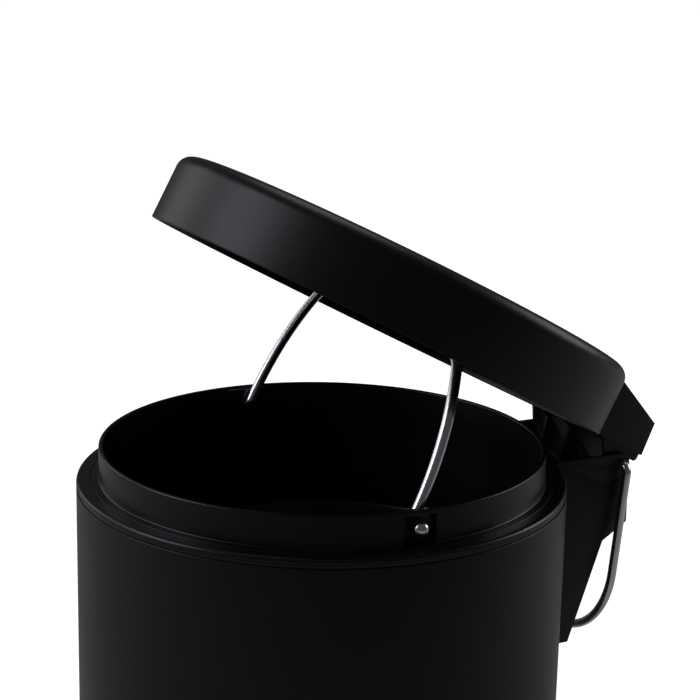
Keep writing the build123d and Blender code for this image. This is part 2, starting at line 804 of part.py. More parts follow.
def lid_bracket():
    low = ledge_height + cover_lift
    front = lid_radius - past
    back = shell_radius + cover_depth
    peak = ledge_height + cover_peak
    top = ledge_height + cover_top
    sheet = cover_sheet
    outline = [
        (front, low),
        (back, low),
        (back - cover_back_lean, peak),
        (lid_radius + cover_top_run, top - cover_top_fall),
        (lid_radius - 1, top),
        (front, top),
    ]
    cover = side_plate(outline, bracket_half)
    inner_outline = [
        (front - 1, low - 1),
        (back - sheet, low - 1),
        (back - cover_back_lean - sheet, peak - sheet / 2),
        (lid_radius + cover_top_run - sheet / 2, top - cover_top_fall - sheet),
        (lid_radius - 1 - sheet / 2, top - sheet),
        (front - 1, top - sheet),
    ]
    hollow = side_plate(inner_outline, bracket_inside - fit_gap - side_lug_sheet)
    wide_hollow = side_plate(inner_outline, bracket_half - sheet)
    wide_hollow -= disc(back + past, low - past, low + sheet)
    hollow = hollow + wide_hollow
    hollow -= disc(lid_radius + sheet, low - past, top + past)
    cover -= hollow
    cover += side_lugs()
    cover -= disc(lid_radius, low - past, top + past)
    for turn, height in lid_rivet_places():
        cover -= radial_hole(rivet_radius, turn, ledge_height + height, lid_radius)
    return about_hinge(cover)


def lid_rivets():
    face = lid_radius + cover_sheet
    rivets = []
    for turn, height in lid_rivet_places():
        outer = face + lug_sheet if turn == 0 else face
        inside = lid_radius - lid_wall
        rivets.append(radial_rivet(outer, inside, turn, ledge_height + height))
    return about_hinge(Part() + rivets)


def slot_places():
    """Ends of the lid lever's slot: nearest and farthest place of the rod's hook from the pin."""
    near = hinge_back - rod_top_back
    far = math.hypot(near, rod_travel / 2)
    turn = math.radians(180 + lid_middle)
    for reach in (near, far):
        yield hinge_y + reach * math.cos(turn), hinge_z + reach * math.sin(turn)


def lid_yoke():
    web = lid_radius + cover_sheet
    (near_y, near_z), (far_y, far_z) = slot_places()
    slot = rod_wire + slot_play
    tip = slot + lug_slot_wall
    top = ledge_height + lug_top
    plate = side_plate(
        [
            (web - past / 4, top),
            (web + lug_back, top),
            (hinge_y + 1, hinge_z + lug_back_rise),
            (hinge_y + lug_eye, hinge_z),
            (hinge_y, hinge_z - lug_eye),
            (far_y, far_z),
            (hinge_y - lug_toe, hinge_z + lug_toe_rise),
            (hinge_y - lug_front, hinge_z + lug_front_rise),
            (web - past / 4, ledge_height + fit_gap + lid_hem_height),
        ],
        lug_half,
    )
    plate += rod_x(lug_eye, -lug_half, lug_half, hinge_y, hinge_z)
    for y, z in slot_places():
        plate += rod_x(tip, -lug_half, lug_half, y, z)
    inner = lug_half - lug_sheet
    low = hinge_z - 2 * past
    hollow = block((-inner, inner), (web - past, hinge_y + past), (low, top - lug_sheet))
    hollow -= disc(web + lug_sheet, low - 1, top + past)
    plate -= hollow
    window = (low, ledge_height + lug_window_top)
    plate -= block((-inner, inner), (web - past, hinge_y + past), window)
    plate -= disc(web, low, top + past)
    plate -= rod_x(pin_radius + pin_gap, -past, past, hinge_y, hinge_z)
    length = math.hypot(far_y - near_y, far_z - near_z)
    middle = Pos(0, (near_y + far_y) / 2, (near_z + far_z) / 2)
    plate -= middle * Rot(180 + lid_middle, 0, 0) * Box(2 * past, length, 2 * slot)
    for y, z in slot_places():
        plate -= rod_x(slot, -past, past, y, z)
    plate -= radial_hole(rivet_radius, 0, ledge_height + lid_rivet_rise, lid_radius)
    return about_hinge(plate)


PARTS = {
    "outer_shell": outer_shell,
    "top_ring": top_ring,
    "inner_bucket": inner_bucket,
    "bucket_bail": bucket_bail,
    "base_ring": base_ring,
    "base_plate": base_plate,
    "base_screws": base_screws,
    "foot_ring": foot_ring,
    "pedal_bracket": pedal_bracket,
    "pedal_bracket_rivets": pedal_bracket_rivets,
    "pedal_axle": pedal_axle,
    "axle_clips": axle_clips,
    "pedal_bushes": pedal_bushes,
    "pedal_lever": pedal_lever,
    "pedal_pad": pedal_pad,
    "push_rod": push_rod,
    "rod_clips": rod_clips,
    "rear_bracket": rear_bracket,
    "bracket_rivets": bracket_rivets,
    "hinge_pin": hinge_pin,
    "hinge_pin_nut": hinge_pin_nut,
    "hinge_bushes": hinge_bushes,
    "carry_handle": carry_handle,
    "lid_shell": lid_shell,
    "lid_bracket": lid_bracket,
    "lid_rivets": lid_rivets,
    "lid_yoke": lid_yoke,
}

os.makedirs("parts", exist_ok=True)
for name, make in PARTS.items():
    export_step(make(), f"parts/{name}.step")
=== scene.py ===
import bpy
import json
import math
from mathutils import Matrix, Vector


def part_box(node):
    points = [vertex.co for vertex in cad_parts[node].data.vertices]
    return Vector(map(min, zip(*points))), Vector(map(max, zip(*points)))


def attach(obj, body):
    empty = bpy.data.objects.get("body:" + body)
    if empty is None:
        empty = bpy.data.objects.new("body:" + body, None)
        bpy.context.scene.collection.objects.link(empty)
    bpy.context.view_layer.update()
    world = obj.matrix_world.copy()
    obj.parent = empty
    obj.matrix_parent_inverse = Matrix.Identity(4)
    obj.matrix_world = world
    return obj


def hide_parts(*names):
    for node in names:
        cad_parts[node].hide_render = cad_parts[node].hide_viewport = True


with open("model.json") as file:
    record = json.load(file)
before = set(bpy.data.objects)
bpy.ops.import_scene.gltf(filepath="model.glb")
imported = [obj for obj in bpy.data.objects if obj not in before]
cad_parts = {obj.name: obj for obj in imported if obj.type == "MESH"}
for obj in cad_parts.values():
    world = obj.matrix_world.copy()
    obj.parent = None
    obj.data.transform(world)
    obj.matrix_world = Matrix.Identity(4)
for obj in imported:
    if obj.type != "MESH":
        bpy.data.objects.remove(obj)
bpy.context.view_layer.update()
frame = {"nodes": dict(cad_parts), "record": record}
nodes = frame["nodes"]
mm = 0.001
print("frame loaded:", len(nodes), "nodes")


# camera and floor

cameraSettings = {
    "place": (0.5471, -0.2843, 0.4336),
    "turn": (75.46, -1.235, 62.062),  # degrees about X, Y and Z
    "lens": 96.7,
    "sensor": 36.0,
    "nearest": 0.01,
    "farthest": 400,
}


def addCamera(settings):
    bpy.ops.object.camera_add(location=settings["place"])
    camera = bpy.context.object
    camera.name = "sceneCamera"
    camera.rotation_euler = [math.radians(angle) for angle in settings["turn"]]
    camera.data.lens = settings["lens"]
    camera.data.sensor_width = settings["sensor"]
    camera.data.clip_start = settings["nearest"]
    camera.data.clip_end = settings["farthest"]
    bpy.context.scene.camera = camera


floorSettings = {"size": 160.0, "colour": (0.55, 0.55, 0.55, 1), "roughness": 0.7, "glow": 0.86, "near": 0.3,
                 "far": 1.2}


def addFloor(settings):
    bpy.ops.mesh.primitive_plane_add(size=settings["size"], location=(0, 0, 0))
    floor = bpy.context.object
    floor.name = "studioFloor"
    material = bpy.data.materials.new("paleFloor")
    material.use_nodes = True
    tree = material.node_tree
    shader = tree.nodes["Principled BSDF"]
    shader.inputs["Base Color"].default_value = settings["colour"]
    shader.inputs["Roughness"].default_value = settings["roughness"]
    shader.inputs["Specular IOR Level"].default_value = 0.0
    shader.inputs["Emission Color"].default_value = (1, 1, 1, 1)
    # the paper is overexposed to white, but lights the object only by what the lamps give it
    path = tree.nodes.new("ShaderNodeLightPath")
    glow = tree.nodes.new("ShaderNodeMath")
    glow.operation = "MULTIPLY"
    place = tree.nodes.new("ShaderNodeTexCoord")
    away = tree.nodes.new("ShaderNodeVectorMath")
    away.operation = "LENGTH"
    fade = tree.nodes.new("ShaderNodeMapRange")
    fade.inputs["From Min"].default_value = settings["near"]
    fade.inputs["From Max"].default_value = settings["far"]
    fade.inputs["To Min"].default_value = settings["glow"]
    tree.links.new(place.outputs["Object"], away.inputs[0])
    tree.links.new(away.outputs["Value"], fade.inputs["Value"])
    tree.links.new(path.outputs["Is Camera Ray"], glow.inputs[0])
    tree.links.new(fade.outputs["Result"], glow.inputs[1])
    tree.links.new(glow.outputs[0], shader.inputs["Emission Strength"])
    floor.data.materials.append(material)


# lights

lightSettings = {
    "frontHigh": {"place": (-0.50, -1.36, 1.03), "aim": (0, 0, 0.26), "size": 1.0, "power": 9,
                  "tint": (0.88, 0.90, 1.0)},
    "backLeft": {"place": (-1.5, -0.7, 0.75), "aim": (0, 0, 0.15), "size": 0.9, "power": 2.5},
    "backRight": {"place": (0.15, 1.6, 0.8), "aim": (0, 0, 0.15), "size": 0.9, "power": 6},
    "overhead": {"place": (-0.5, 0.4, 1.7), "aim": (0, 0, 0.2), "size": 0.9, "power": 5},
}
worldSettings = {"colour": (0.93, 0.96, 1.0, 1), "strength": 0.06, "seen": 1.2}


def addLights(settings):
    for name, light in settings.items():
        bpy.ops.object.light_add(type="AREA", location=light["place"])
        lamp = bpy.context.object
        lamp.name = name
        lamp.data.size = light["size"]
        lamp.data.energy = light["power"]
        lamp.data.color = light.get("tint", (1, 1, 1))
        toward = Vector(light["aim"]) - Vector(light["place"])
        lamp.rotation_euler = toward.to_track_quat("-Z", "Y").to_euler()


def addWorld(settings):
    world = bpy.data.worlds.new("studio")
    bpy.context.scene.world = world
    world.use_nodes = True
    background = world.node_tree.nodes["Background"]
    background.inputs["Color"].default_value = settings["colour"]
    # the lens sees a white room, while the object is lit by a dim one
    path = world.node_tree.nodes.new("ShaderNodeLightPath")
    blend = world.node_tree.nodes.new("ShaderNodeMapRange")
    blend.inputs["To Min"].default_value = settings["strength"]
    blend.inputs["To Max"].default_value = settings["seen"]
    world.node_tree.links.new(path.outputs["Is Camera Ray"], blend.inputs["Value"])
    world.node_tree.links.new(blend.outputs["Result"], background.inputs["Strength"])
    bpy.context.scene.view_settings.view_transform = "Standard"


addCamera(cameraSettings)
addFloor(floorSettings)
addLights(lightSettings)
addWorld(worldSettings)
print("camera, floor and lights ready")


# shared effects, each a node group that a material places with its own values

def newGroup(name, inputs, outputs):
    group = bpy.data.node_groups.new(name, "ShaderNodeTree")
    for label, kind, value in inputs:
        socket = group.interface.new_socket(name=label, in_out="INPUT", socket_type=kind)
        if value is not None:
            socket.default_value = value
    for label, kind in outputs:
        group.interface.new_socket(name=label, in_out="OUTPUT", socket_type=kind)
    inside = group.nodes.new("NodeGroupInput")
    outside = group.nodes.new("NodeGroupOutput")
    return group, inside.outputs, outside.inputs


def addNoise(group, vector, scale, detail=3.0, roughness=0.55):
    noise = group.nodes.new("ShaderNodeTexNoise")
    noise.inputs["Detail"].default_value = detail
    noise.inputs["Roughness"].default_value = roughness
    group.links.new(vector, noise.inputs["Vector"])
    group.links.new(scale, noise.inputs["Scale"])
    return noise.outputs["Fac"]


def addRange(group, value, low, high, fromLow=0.3, fromHigh=0.7):
    ranger = group.nodes.new("ShaderNodeMapRange")
    ranger.inputs["From Min"].default_value = fromLow
    ranger.inputs["From Max"].default_value = fromHigh
    group.links.new(value, ranger.inputs["Value"])
    for socket, end in (("To Min", low), ("To Max", high)):
        if isinstance(end, float):
            ranger.inputs[socket].default_value = end
        else:
            group.links.new(end, ranger.inputs[socket])
    return ranger.outputs["Result"]


def addMath(group, operation, first, second):
    node = group.nodes.new("ShaderNodeMath")
    node.operation = operation
    for socket, value in zip(node.inputs, (first, second)):
        if isinstance(value, float):
            socket.default_value = value
        else:
            group.links.new(value, socket)
    return node.outputs[0]


def makeGrainGroup():
    # two sizes of soft lumps, as in powder coat, moulded plastic or rubber
    group, given, result = newGroup(
        "surfaceGrain",
        [("Vector", "NodeSocketVector", None), ("Coarse Scale", "NodeSocketFloat", 500.0),
         ("Fine Scale", "NodeSocketFloat", 1800.0), ("Fine Share", "NodeSocketFloat", 0.4)],
        [("Height", "NodeSocketFloat")],
    )
    coarse = addNoise(group, given["Vector"], given["Coarse Scale"], detail=2.0)
    fine = addNoise(group, given["Vector"], given["Fine Scale"], detail=2.0)
    fine = addMath(group, "MULTIPLY", fine, given["Fine Share"])
    group.links.new(addMath(group, "ADD", coarse, fine), result["Height"])
    return group


def makeSheenGroup():
    # roughness that drifts over the surface, with faint rubbed patches
    group, given, result = newGroup(
        "unevenSheen",
        [("Vector", "NodeSocketVector", None), ("Patch Scale", "NodeSocketFloat", 22.0),
         ("Smooth", "NodeSocketFloat", 0.3), ("Dull", "NodeSocketFloat", 0.4),
         ("Speck Scale", "NodeSocketFloat", 900.0), ("Speck Amount", "NodeSocketFloat", 0.06)],
        [("Roughness", "NodeSocketFloat")],
    )
    patches = addNoise(group, given["Vector"], given["Patch Scale"], detail=4.0)
    base = addRange(group, patches, given["Smooth"], given["Dull"])
    specks = addNoise(group, given["Vector"], given["Speck Scale"], detail=1.0)
    specks = addMath(group, "MULTIPLY", addMath(group, "SUBTRACT", specks, 0.5), given["Speck Amount"])
    group.links.new(addMath(group, "ADD", base, specks), result["Roughness"])
    return group


def makeTintGroup():
    # a base colour that shifts a little, with settled dust in soft clouds
    group, given, result = newGroup(
        "tintAndDust",
        [("Vector", "NodeSocketVector", None), ("Dark", "NodeSocketColor", (0.01, 0.01, 0.01, 1)),
         ("Light", "NodeSocketColor", (0.015, 0.015, 0.015, 1)), ("Tint Scale", "NodeSocketFloat", 30.0),
         ("Dust", "NodeSocketColor", (0.12, 0.115, 0.11, 1)), ("Dust Scale", "NodeSocketFloat", 260.0),
         ("Dust Amount", "NodeSocketFloat", 0.05)],
        [("Color", "NodeSocketColor")],
    )
    shift = addRange(group, addNoise(group, given["Vector"], given["Tint Scale"]), 0.0, 1.0)
    tint = group.nodes.new("ShaderNodeMix")
    tint.data_type = "RGBA"
    group.links.new(shift, tint.inputs["Factor"])
    group.links.new(given["Dark"], tint.inputs["A"])
    group.links.new(given["Light"], tint.inputs["B"])
    cloud = addNoise(group, given["Vector"], given["Dust Scale"], detail=6.0)
    specks = addRange(group, cloud, 0.0, 1.0, fromLow=0.56, fromHigh=0.78)
    dust = group.nodes.new("ShaderNodeMix")
    dust.data_type = "RGBA"
    group.links.new(addMath(group, "MULTIPLY", specks, given["Dust Amount"]), dust.inputs["Factor"])
    group.links.new(tint.outputs["Result"], dust.inputs["A"])
    group.links.new(given["Dust"], dust.inputs["B"])
    group.links.new(dust.outputs["Result"], result["Color"])
    return group


def makeSpangleGroup():
    # the crystal patches of a zinc plating
    group, given, result = newGroup(
        "zincSpangle",
        [("Vector", "NodeSocketVector", None), ("Scale", "NodeSocketFloat", 260.0)],
        [("Shade", "NodeSocketFloat")],
    )
    cells = group.nodes.new("ShaderNodeTexVoronoi")
    group.links.new(given["Vector"], cells.inputs["Vector"])
    group.links.new(given["Scale"], cells.inputs["Scale"])
    split = group.nodes.new("ShaderNodeSeparateColor")
    group.links.new(cells.outputs["Color"], split.inputs["Color"])
    group.links.new(split.outputs["Red"], result["Shade"])
    return group


grainGroup = makeGrainGroup()
sheenGroup = makeSheenGroup()
tintGroup = makeTintGroup()
spangleGroup = makeSpangleGroup()


# finishes

def placeGroup(tree, group, settings):
    node = tree.nodes.new("ShaderNodeGroup")
    node.node_tree = group
    for label, value in settings.items():
        node.inputs[label].default_value = value
    place = tree.nodes.get("Texture Coordinate") or tree.nodes.new("ShaderNodeTexCoord")
    tree.links.new(place.outputs["Object"], node.inputs["Vector"])
    return node.outputs


def makeFinish(name, settings):
    material = bpy.data.materials.new(name)
    material.use_nodes = True
    tree = material.node_tree
    shader = tree.nodes["Principled BSDF"]
    for label, value in settings["shader"].items():
        shader.inputs[label].default_value = value
    tint = placeGroup(tree, tintGroup, settings["tint"])
    tree.links.new(tint["Color"], shader.inputs["Base Color"])
    sheen = placeGroup(tree, sheenGroup, settings["sheen"])
    tree.links.new(sheen["Roughness"], shader.inputs["Roughness"])
    grain = placeGroup(tree, grainGroup, settings["grain"])
    bump = tree.nodes.new("ShaderNodeBump")
    bump.inputs["Strength"].default_value = settings["bump"][0]
    bump.inputs["Distance"].default_value = settings["bump"][1]
    tree.links.new(grain["Height"], bump.inputs["Height"])
    tree.links.new(bump.outputs["Normal"], shader.inputs["Normal"])
    if "spangle" in settings:
        spangle = placeGroup(tree, spangleGroup, settings["spangle"])
        mix = tree.nodes.new("ShaderNodeMix")
        mix.data_type = "RGBA"
        mix.blend_type = "MULTIPLY"
        mix.inputs["Factor"].default_value = settings["spangleShare"]
        tree.links.new(tint["Color"], mix.inputs["A"])
        tree.links.new(spangle["Shade"], mix.inputs["B"])
        tree.links.new(mix.outputs["Result"], shader.inputs["Base Color"])
    return material


paintLook = {
    "shader": {"Specular IOR Level": 0.32, "Metallic": 0.0},
    "tint": {"Dark": (0.0042, 0.0043, 0.0047, 1), "Light": (0.0062, 0.0063, 0.0068, 1),
             "Tint Scale": 26.0, "Dust Amount": 0.012, "Dust Scale": 420.0},
    "sheen": {"Smooth": 0.34, "Dull": 0.40, "Patch Scale": 18.0,
              "Speck Scale": 1400.0, "Speck Amount": 0.05},
    "grain": {"Coarse Scale": 420.0, "Fine Scale": 1500.0, "Fine Share": 0.35},
    "bump": (0.10, 0.0004),
}
plasticLook = {
    "shader": {"Specular IOR Level": 0.36, "Metallic": 0.0},
    "tint": {"Dark": (0.0032, 0.0032, 0.0034, 1), "Light": (0.0050, 0.0050, 0.0052, 1),
             "Tint Scale": 34.0, "Dust Amount": 0.02, "Dust Scale": 300.0},
    "sheen": {"Smooth": 0.27, "Dull": 0.36, "Patch Scale": 30.0,
              "Speck Scale": 1100.0, "Speck Amount": 0.08},
    "grain": {"Coarse Scale": 900.0, "Fine Scale": 2600.0, "Fine Share": 0.6},
    "bump": (0.10, 0.0003),
}
chromeLook = {
    "shader": {"Metallic": 1.0},
    "tint": {"Dark": (0.74, 0.75, 0.78, 1), "Light": (0.84, 0.85, 0.87, 1),
             "Tint Scale": 90.0, "Dust Amount": 0.05, "Dust Scale": 700.0},
    "sheen": {"Smooth": 0.18, "Dull": 0.27, "Patch Scale": 120.0,
              "Speck Scale": 2200.0, "Speck Amount": 0.08},
    "grain": {"Coarse Scale": 700.0, "Fine Scale": 2600.0, "Fine Share": 0.5},
    "bump": (0.05, 0.0002),
}
zincLook = {
    "shader": {"Metallic": 1.0},
    "tint": {"Dark": (0.42, 0.43, 0.45, 1), "Light": (0.58, 0.585, 0.59, 1),
             "Tint Scale": 60.0, "Dust Amount": 0.10, "Dust Scale": 400.0},
    "sheen": {"Smooth": 0.30, "Dull": 0.46, "Patch Scale": 90.0,
              "Speck Scale": 1600.0, "Speck Amount": 0.12},
    "grain": {"Coarse Scale": 500.0, "Fine Scale": 1900.0, "Fine Share": 0.5},
    "bump": (0.14, 0.0003),
    "spangle": {"Scale": 300.0},
    "spangleShare": 0.35,
}
rubberLook = {
    "shader": {"Specular IOR Level": 0.3, "Metallic": 0.0},
    "tint": {"Dark": (0.008, 0.008, 0.008, 1), "Light": (0.014, 0.014, 0.014, 1),
             "Tint Scale": 50.0, "Dust Amount": 0.12, "Dust Scale": 320.0},
    "sheen": {"Smooth": 0.62, "Dull": 0.78, "Patch Scale": 60.0,
              "Speck Scale": 1400.0, "Speck Amount": 0.1},
    "grain": {"Coarse Scale": 700.0, "Fine Scale": 2200.0, "Fine Share": 0.8},
    "bump": (0.30, 0.0004),
}

finishes = {
    "black_paint": makeFinish("satinBlackPaint", paintLook),
    "black_plastic": makeFinish("blackPlastic", plasticLook),
    "chrome_wire": makeFinish("brightChrome", chromeLook),
    "zinc_steel": makeFinish("zincSteel", zincLook),
    "black_rubber": makeFinish("blackRubber", rubberLook),
}
slotOf = {entry["node"]: entry["material_slot"] for entry in frame["record"]["subparts"]}
bodyOf = {}
for body, members in frame["record"]["behaviour"]["bodies"].items():
    for member in members:
        bodyOf[member] = body
for name, node in nodes.items():
    node.data.materials.clear()
    node.data.materials.append(finishes[slotOf[name]])
print("finishes made")


# modelling helpers

def deselectAll():
    bpy.ops.object.select_all(action="DESELECT")


def chooseOnly(piece):
    deselectAll()
    piece.select_set(True)
    bpy.context.view_layer.objects.active = piece


def editAll(piece):
    chooseOnly(piece)
    bpy.ops.object.mode_set(mode="EDIT")
    bpy.ops.mesh.select_all(action="SELECT")


def tidyMesh(piece, gap=2e-6):
    editAll(piece)
    bpy.ops.mesh.remove_doubles(threshold=gap)
    bpy.ops.mesh.normals_make_consistent(inside=False)
    bpy.ops.object.mode_set(mode="OBJECT")


def applyModifier(piece, kind, **values):
    chooseOnly(piece)
    modifier = piece.modifiers.new(kind.title(), kind)
    for label, value in values.items():
        setattr(modifier, label, value)
    bpy.ops.object.modifier_apply(modifier=modifier.name)


def softenEdges(piece, width, segments=2, angle=35):
    applyModifier(
        piece, "BEVEL", width=width * mm, segments=segments, limit_method="ANGLE",
        angle_limit=math.radians(angle), use_clamp_overlap=True, miter_outer="MITER_ARC",
    )


def cutAway(piece, low, high, turn=0.0, join=False):
    # a box between two corners in millimetres, turned about the Z axis, taken from or joined to the piece
    deselectAll()
    middle = [(a + b) / 2 * mm for a, b in zip(low, high)]
    bpy.ops.mesh.primitive_cube_add(size=1, location=middle)
    cutter = bpy.context.object
    cutter.scale = [(b - a) * mm for a, b in zip(low, high)]
    bpy.ops.object.transform_apply(location=True, rotation=True, scale=True)
    cutter.rotation_euler = (0, 0, math.radians(turn))
    bpy.ops.object.transform_apply(location=True, rotation=True, scale=True)
    operation = "UNION" if join else "DIFFERENCE"
    applyModifier(piece, "BOOLEAN", object=cutter, operation=operation, solver="EXACT")
    bpy.data.objects.remove(cutter)


def finishPiece(piece, *replaced, angle=32):
    chooseOnly(piece)
    bpy.ops.object.shade_smooth_by_angle(angle=math.radians(angle))
    first = replaced[0]
    piece.data.materials.clear()
    piece.data.materials.append(finishes[slotOf[first]])
    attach(piece, bodyOf[first])
    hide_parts(*replaced)
    print("made", piece.name, len(piece.data.polygons), "faces")
    return piece


def arcPoints(centre, radius, start, end, count):
    # points on an arc in the outline's plane, angles in degrees from the radius axis
    points = []
    for index in range(count + 1):
        angle = math.radians(start + (end - start) * index / count)
        points.append((centre[0] + radius * math.cos(angle), centre[1] + radius * math.sin(angle)))
    return points


def spinOutline(name, outline, steps=192):
    # one vertex drawn along a closed outline (radius, height in millimetres) and spun about Z
    deselectAll()
    bpy.ops.mesh.primitive_plane_add(size=mm, location=(0, 0, 0))
    piece = bpy.context.object
    piece.name = name
    piece.data.name = name
    bpy.ops.object.mode_set(mode="EDIT")
    bpy.ops.mesh.select_all(action="SELECT")
    bpy.ops.mesh.merge(type="CENTER")
    bpy.ops.transform.translate(value=(outline[0][0] * mm, 0, outline[0][1] * mm))
    for before, after in zip(outline, outline[1:] + outline[:1]):
        step = ((after[0] - before[0]) * mm, 0, (after[1] - before[1]) * mm)
        bpy.ops.mesh.extrude_region_move(TRANSFORM_OT_translate={"value": step})
    bpy.ops.mesh.select_all(action="SELECT")
    bpy.ops.mesh.spin(steps=steps, angle=2 * math.pi, center=(0, 0, 0), axis=(0, 0, 1))
    bpy.ops.object.mode_set(mode="OBJECT")
    tidyMesh(piece)
    return piece


def softCopy(name, node, width=0.25, segments=2, angle=35):
    # a CAD part with its edges broken, as a tumbled or painted part has them
    piece = nodes[node].copy()
    piece.data = nodes[node].data.copy()
    piece.name = name
    piece.data.name = name
    piece.parent = None
    for label in list(piece.keys()):
        del piece[label]
    bpy.context.scene.collection.objects.link(piece)
    editAll(piece)
    bpy.ops.mesh.remove_doubles(threshold=2e-6)
    bpy.ops.mesh.dissolve_limited(angle_limit=math.radians(0.5))
    bpy.ops.object.mode_set(mode="OBJECT")
    softenEdges(piece, width, segments, angle)
    return finishPiece(piece, node)


# round casings

casingSettings = {"ledgeWidth": 7.6, "flangeThickness": 1.6, "flangeWidth": 2.8, "seatGap": 0.1}
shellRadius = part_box("outer_shell")[1].x / mm
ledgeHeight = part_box("top_ring")[1].z / mm
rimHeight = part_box("inner_bucket")[1].z / mm
collarRadius = shellRadius - casingSettings["ledgeWidth"]
flangeSeat = ledgeHeight - casingSettings["flangeThickness"]

shellSettings = {
    "wall": 0.8,
    "bottom": 6.0,
    "edgeRound": 0.35,  # broken edge of the sheet
    "slot": {"low": (-9.15, -104, 4.0), "high": (9.15, -64, 33.1)},
}


def makeShell(settings):
    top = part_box("outer_shell")[1].z / mm
    inside = shellRadius - settings["wall"]
    corner = settings["edgeRound"]
    outline = [
        (inside, settings["bottom"]),
        (shellRadius, settings["bottom"]),
        *arcPoints((shellRadius - corner, top - corner), corner, 0, 90, 4),
        (inside, top),
    ]
    shell = spinOutline("shellBody", outline, 256)
    cutAway(shell, settings["slot"]["low"], settings["slot"]["high"])
    return finishPiece(shell, "outer_shell")


ringSettings = {
    "wall": 1.5,
    "skirt": 8.0,
    "lip": 3.2,
    "cove": 0.5,
    "coveHeight": 1.3,
    "coveFoot": 0.15,
    "coveEase": 0.2,
    "lipRound": 0.35,  # where the cove turns out to the shoulder
    "lipRise": 0.1,
    "shoulder": 1.3,
    "insideClear": 0.9,
    "seamRound": 0.12,
    "shelf": 1.5,
}


def makeShoulderRing(settings):
    lipBottom = ledgeHeight - settings["lip"]
    skirtBottom = lipBottom - settings["skirt"]
    shelfBottom = flangeSeat - settings["shelf"]
    skirtRadius = shellRadius - shellSettings["wall"] - casingSettings["seatGap"]
    skirtInside = skirtRadius - settings["wall"]
    coveRadius = shellRadius - settings["cove"]
    coveTop = lipBottom + settings["coveHeight"]
    shoulder = settings["shoulder"]
    turn = settings["lipRound"]
    seam = settings["seamRound"]
    rebate = collarRadius + casingSettings["flangeWidth"] + casingSettings["seatGap"]
    inside = collarRadius + settings["insideClear"]
    outline = [
        (inside, shelfBottom),
        (skirtInside, shelfBottom),
        (skirtInside, skirtBottom),
        (skirtRadius, skirtBottom),
        (skirtRadius, lipBottom),
        (coveRadius, lipBottom + settings["coveFoot"]),
        (coveRadius, coveTop - settings["coveEase"]),
        *arcPoints((shellRadius - turn, coveTop + turn + settings["lipRise"]), turn, -70, 0, 4),
        *arcPoints((shellRadius - shoulder, ledgeHeight - shoulder), shoulder, 0, 90, 8),
        *arcPoints((rebate + seam, ledgeHeight - seam), seam, 90, 180, 3),
        (rebate, flangeSeat),
        (inside, flangeSeat),
    ]
    return finishPiece(spinOutline("shoulderRing", outline, 256), "top_ring")


bucketSettings = {
    "wall": 1.5,
    "floor": 37.0,
    "taper": 10.4,
    "bevel": 4.0,
    "undercut": 0.4,
    "wallTaper": 0.8,
    "stepDrop": 47.0,
    "step": 0.7,
    "stepRise": 1.0,
    "flangeRound": 0.15,
    "collarRound": 0.5,
    "edgeWidth": 0.3,
    "edgeAngle": 50,
    "turn": -3.8,
    "pocketWidth": 11.0,
    "pocketDepth": 3.0,
    "pocketWall": 1.3,
    "pocketLip": 1.5,
    "pocketDrop": 17.0,
    "pocketReach": 9.0,  # how far the pocket's cut goes out past the collar
}


def bucketOutline(settings):
    wall = settings["wall"]
    half = wall / 2
    stepHeight = rimHeight - settings["stepDrop"]
    under = collarRadius - settings["undercut"]
    low = under - settings["wallTaper"]
    lowStep = low - settings["step"]
    floor = settings["floor"]
    floorRadius = collarRadius - settings["taper"]
    bevel = settings["bevel"]
    flangeEdge = collarRadius + casingSettings["flangeWidth"]
    edge = settings["flangeRound"]
    cove = settings["collarRound"]
    floorCorner = (floorRadius - bevel - half, floor + bevel + half)
    return [
        (0, floor),
        (floorRadius - bevel, floor),
        *arcPoints((floorRadius - bevel, floor + bevel), bevel, -75, -15, 4),
        (floorRadius, floor + bevel),
        (lowStep, stepHeight - settings["stepRise"]),
        (low, stepHeight),
        (under, flangeSeat),
        (flangeEdge, flangeSeat),
        *arcPoints((flangeEdge - edge, ledgeHeight - edge), edge, 0, 90, 3),
        *arcPoints((collarRadius + cove, ledgeHeight + cove), cove, 270, 180, 3),
        *arcPoints((collarRadius - half, rimHeight - half), half, 0, 180, 8),
        (collarRadius - wall, ledgeHeight),
        (low - wall, stepHeight),
        (lowStep - wall, stepHeight - settings["stepRise"]),
        (floorRadius - wall, floorCorner[1]),
        *arcPoints(floorCorner, bevel - half, -15, -75, 4),
        (floorCorner[0], floor + wall),
        (0, floor + wall),
    ]


def makeBucket(settings):
    wall = settings["wall"]
    half = wall / 2
    bucket = spinOutline("bucketLiner", bucketOutline(settings), 256)
    outside = collarRadius - settings["undercut"] - half
    floorX = collarRadius - settings["pocketDepth"]
    wallX = floorX - settings["pocketWall"]
    farX = collarRadius + settings["pocketReach"]
    width = settings["pocketWidth"] / 2
    top = rimHeight - settings["pocketLip"]
    bottom = ledgeHeight - settings["pocketDrop"]
    for halfTurn in (0, 180):
        turn = settings["turn"] + halfTurn
        cutAway(bucket, (wallX, -width - wall, bottom), (outside, width + wall, top + half), turn, join=True)
        cutAway(bucket, (floorX, -width, ledgeHeight), (farX, width, top), turn)
        cutAway(bucket, (floorX, -width, bottom + wall), (farX, width, flangeSeat), turn)
    tidyMesh(bucket)
    softenEdges(bucket, settings["edgeWidth"], 2, settings["edgeAngle"])
    return finishPiece(bucket, "inner_bucket")


baseSettings = {
    "lip": 1.2,
    "bottom": 1.5,
    "lipTop": 9.0,
    "wall": 2.3,
    "wallTop": 20.0,
    "flangeWidth": 7.0,
    "flangeThickness": 1.2,
    "footRound": 0.8,
    "lipRound": 0.7,
    "slot": {"low": (-9.15, -104, 4.9), "high": (9.15, -64, 33.1)},
    "notch": {"low": (-13.6, 77.5, 3.9), "high": (13.6, 83.1, 24)},
}


